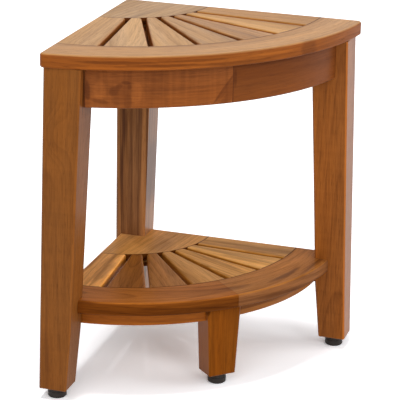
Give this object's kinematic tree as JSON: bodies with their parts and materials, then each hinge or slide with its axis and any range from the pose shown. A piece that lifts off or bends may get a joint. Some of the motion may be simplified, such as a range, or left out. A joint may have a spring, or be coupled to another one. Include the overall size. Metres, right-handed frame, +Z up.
{
  "type": "corner shower bench",
  "caption": "Quarter-round corner bench with a fan-slatted seat, a matching lower shelf, tapered legs and screw levelling feet.",
  "frame": {"origin": "on the floor, under the middle of the bench's bounding box", "axes": "+Z up, +Y towards the back corner where the two straight sides meet, +X to the right as seen from the curved front"},
  "size_m": [0.4632, 0.3138, 0.45],
  "materials": {
    "teak_seat": "satin oiled teak",
    "teak_shelf": "satin oiled teak",
    "teak_frame": "satin oiled teak",
    "dowel_wood": "fluted hardwood",
    "black_plastic": "moulded, satin",
    "steel": "stainless",
    "brass": "turned"
  },
  "bodies": {
    "frame": {"seat_corner_board": "teak_seat", "seat_slat_1": "teak_seat", "seat_slat_2": "teak_seat", "seat_slat_3": "teak_seat", "seat_slat_4": "teak_seat", "seat_slat_5": "teak_seat", "seat_slat_6": "teak_seat", "seat_slat_7": "teak_seat", "seat_front_board": "teak_seat", "seat_apron_left": "teak_frame", "seat_apron_right": "teak_frame", "seat_rail_left": "teak_frame", "seat_rail_right": "teak_frame", "shelf_corner_board": "teak_shelf", "shelf_slat_1": "teak_shelf", "shelf_slat_2": "teak_shelf", "shelf_slat_3": "teak_shelf", "shelf_slat_4": "teak_shelf", "shelf_slat_5": "teak_shelf", "shelf_slat_6": "teak_shelf", "shelf_slat_7": "teak_shelf", "shelf_front_board_left": "teak_shelf", "shelf_front_board_right": "teak_shelf", "shelf_apron_left": "teak_frame", "shelf_apron_right": "teak_frame", "shelf_rail_left": "teak_frame", "shelf_rail_right": "teak_frame", "leg_back": "teak_frame", "leg_left": "teak_frame", "leg_right": "teak_frame", "leg_middle": "teak_frame", "apron_dowels": "dowel_wood", "shelf_board_dowels": "dowel_wood", "seat_screws": "steel", "shelf_screws": "steel", "foot_inserts": "brass"},
    "pad_back": {"foot_pad_back": "black_plastic"},
    "stud_back": {"foot_stud_back": "steel", "foot_ring_back": "black_plastic"},
    "pad_left": {"foot_pad_left": "black_plastic"},
    "stud_left": {"foot_stud_left": "steel", "foot_ring_left": "black_plastic"},
    "pad_right": {"foot_pad_right": "black_plastic"},
    "stud_right": {"foot_stud_right": "steel", "foot_ring_right": "black_plastic"},
    "pad_middle": {"foot_pad_middle": "black_plastic"},
    "stud_middle": {"foot_stud_middle": "steel", "foot_ring_middle": "black_plastic"}
  },
  "joints": [
    {"name": "foot_back_slide", "type": "slide", "parent": "frame", "child": "pad_back", "axis": [0, 0, -1], "range_m": [0, 0.01]},
    {"name": "foot_back_turn", "type": "hinge", "parent": "pad_back", "child": "stud_back", "pos_m": [0, 0.12742, 0.01], "axis": [0, 0, -1], "range_deg": [0, 2880]},
    {"name": "foot_left_slide", "type": "slide", "parent": "frame", "child": "pad_left", "axis": [0, 0, -1], "range_m": [0, 0.01]},
    {"name": "foot_left_turn", "type": "hinge", "parent": "pad_left", "child": "stud_left", "pos_m": [-0.20718, -0.07834, 0.01], "axis": [0, 0, -1], "range_deg": [0, 2880]},
    {"name": "foot_right_slide", "type": "slide", "parent": "frame", "child": "pad_right", "axis": [0, 0, -1], "range_m": [0, 0.01]},
    {"name": "foot_right_turn", "type": "hinge", "parent": "pad_right", "child": "stud_right", "pos_m": [0.20718, -0.07834, 0.01], "axis": [0, 0, -1], "range_deg": [0, 2880]},
    {"name": "foot_middle_slide", "type": "slide", "parent": "frame", "child": "pad_middle", "axis": [0, 0, -1], "range_m": [0, 0.01]},
    {"name": "foot_middle_turn", "type": "hinge", "parent": "pad_middle", "child": "stud_middle", "pos_m": [0, -0.1234, 0.01], "axis": [0, 0, -1], "range_deg": [0, 2880]}
  ],
  "couplings": [
    {"joint": "foot_back_turn", "follows": "foot_back_slide", "rad_per_m": 5026.5},
    {"joint": "foot_left_turn", "follows": "foot_left_slide", "rad_per_m": 5026.5},
    {"joint": "foot_right_turn", "follows": "foot_right_slide", "rad_per_m": 5026.5},
    {"joint": "foot_middle_turn", "follows": "foot_middle_slide", "rad_per_m": 5026.5}
  ]
}
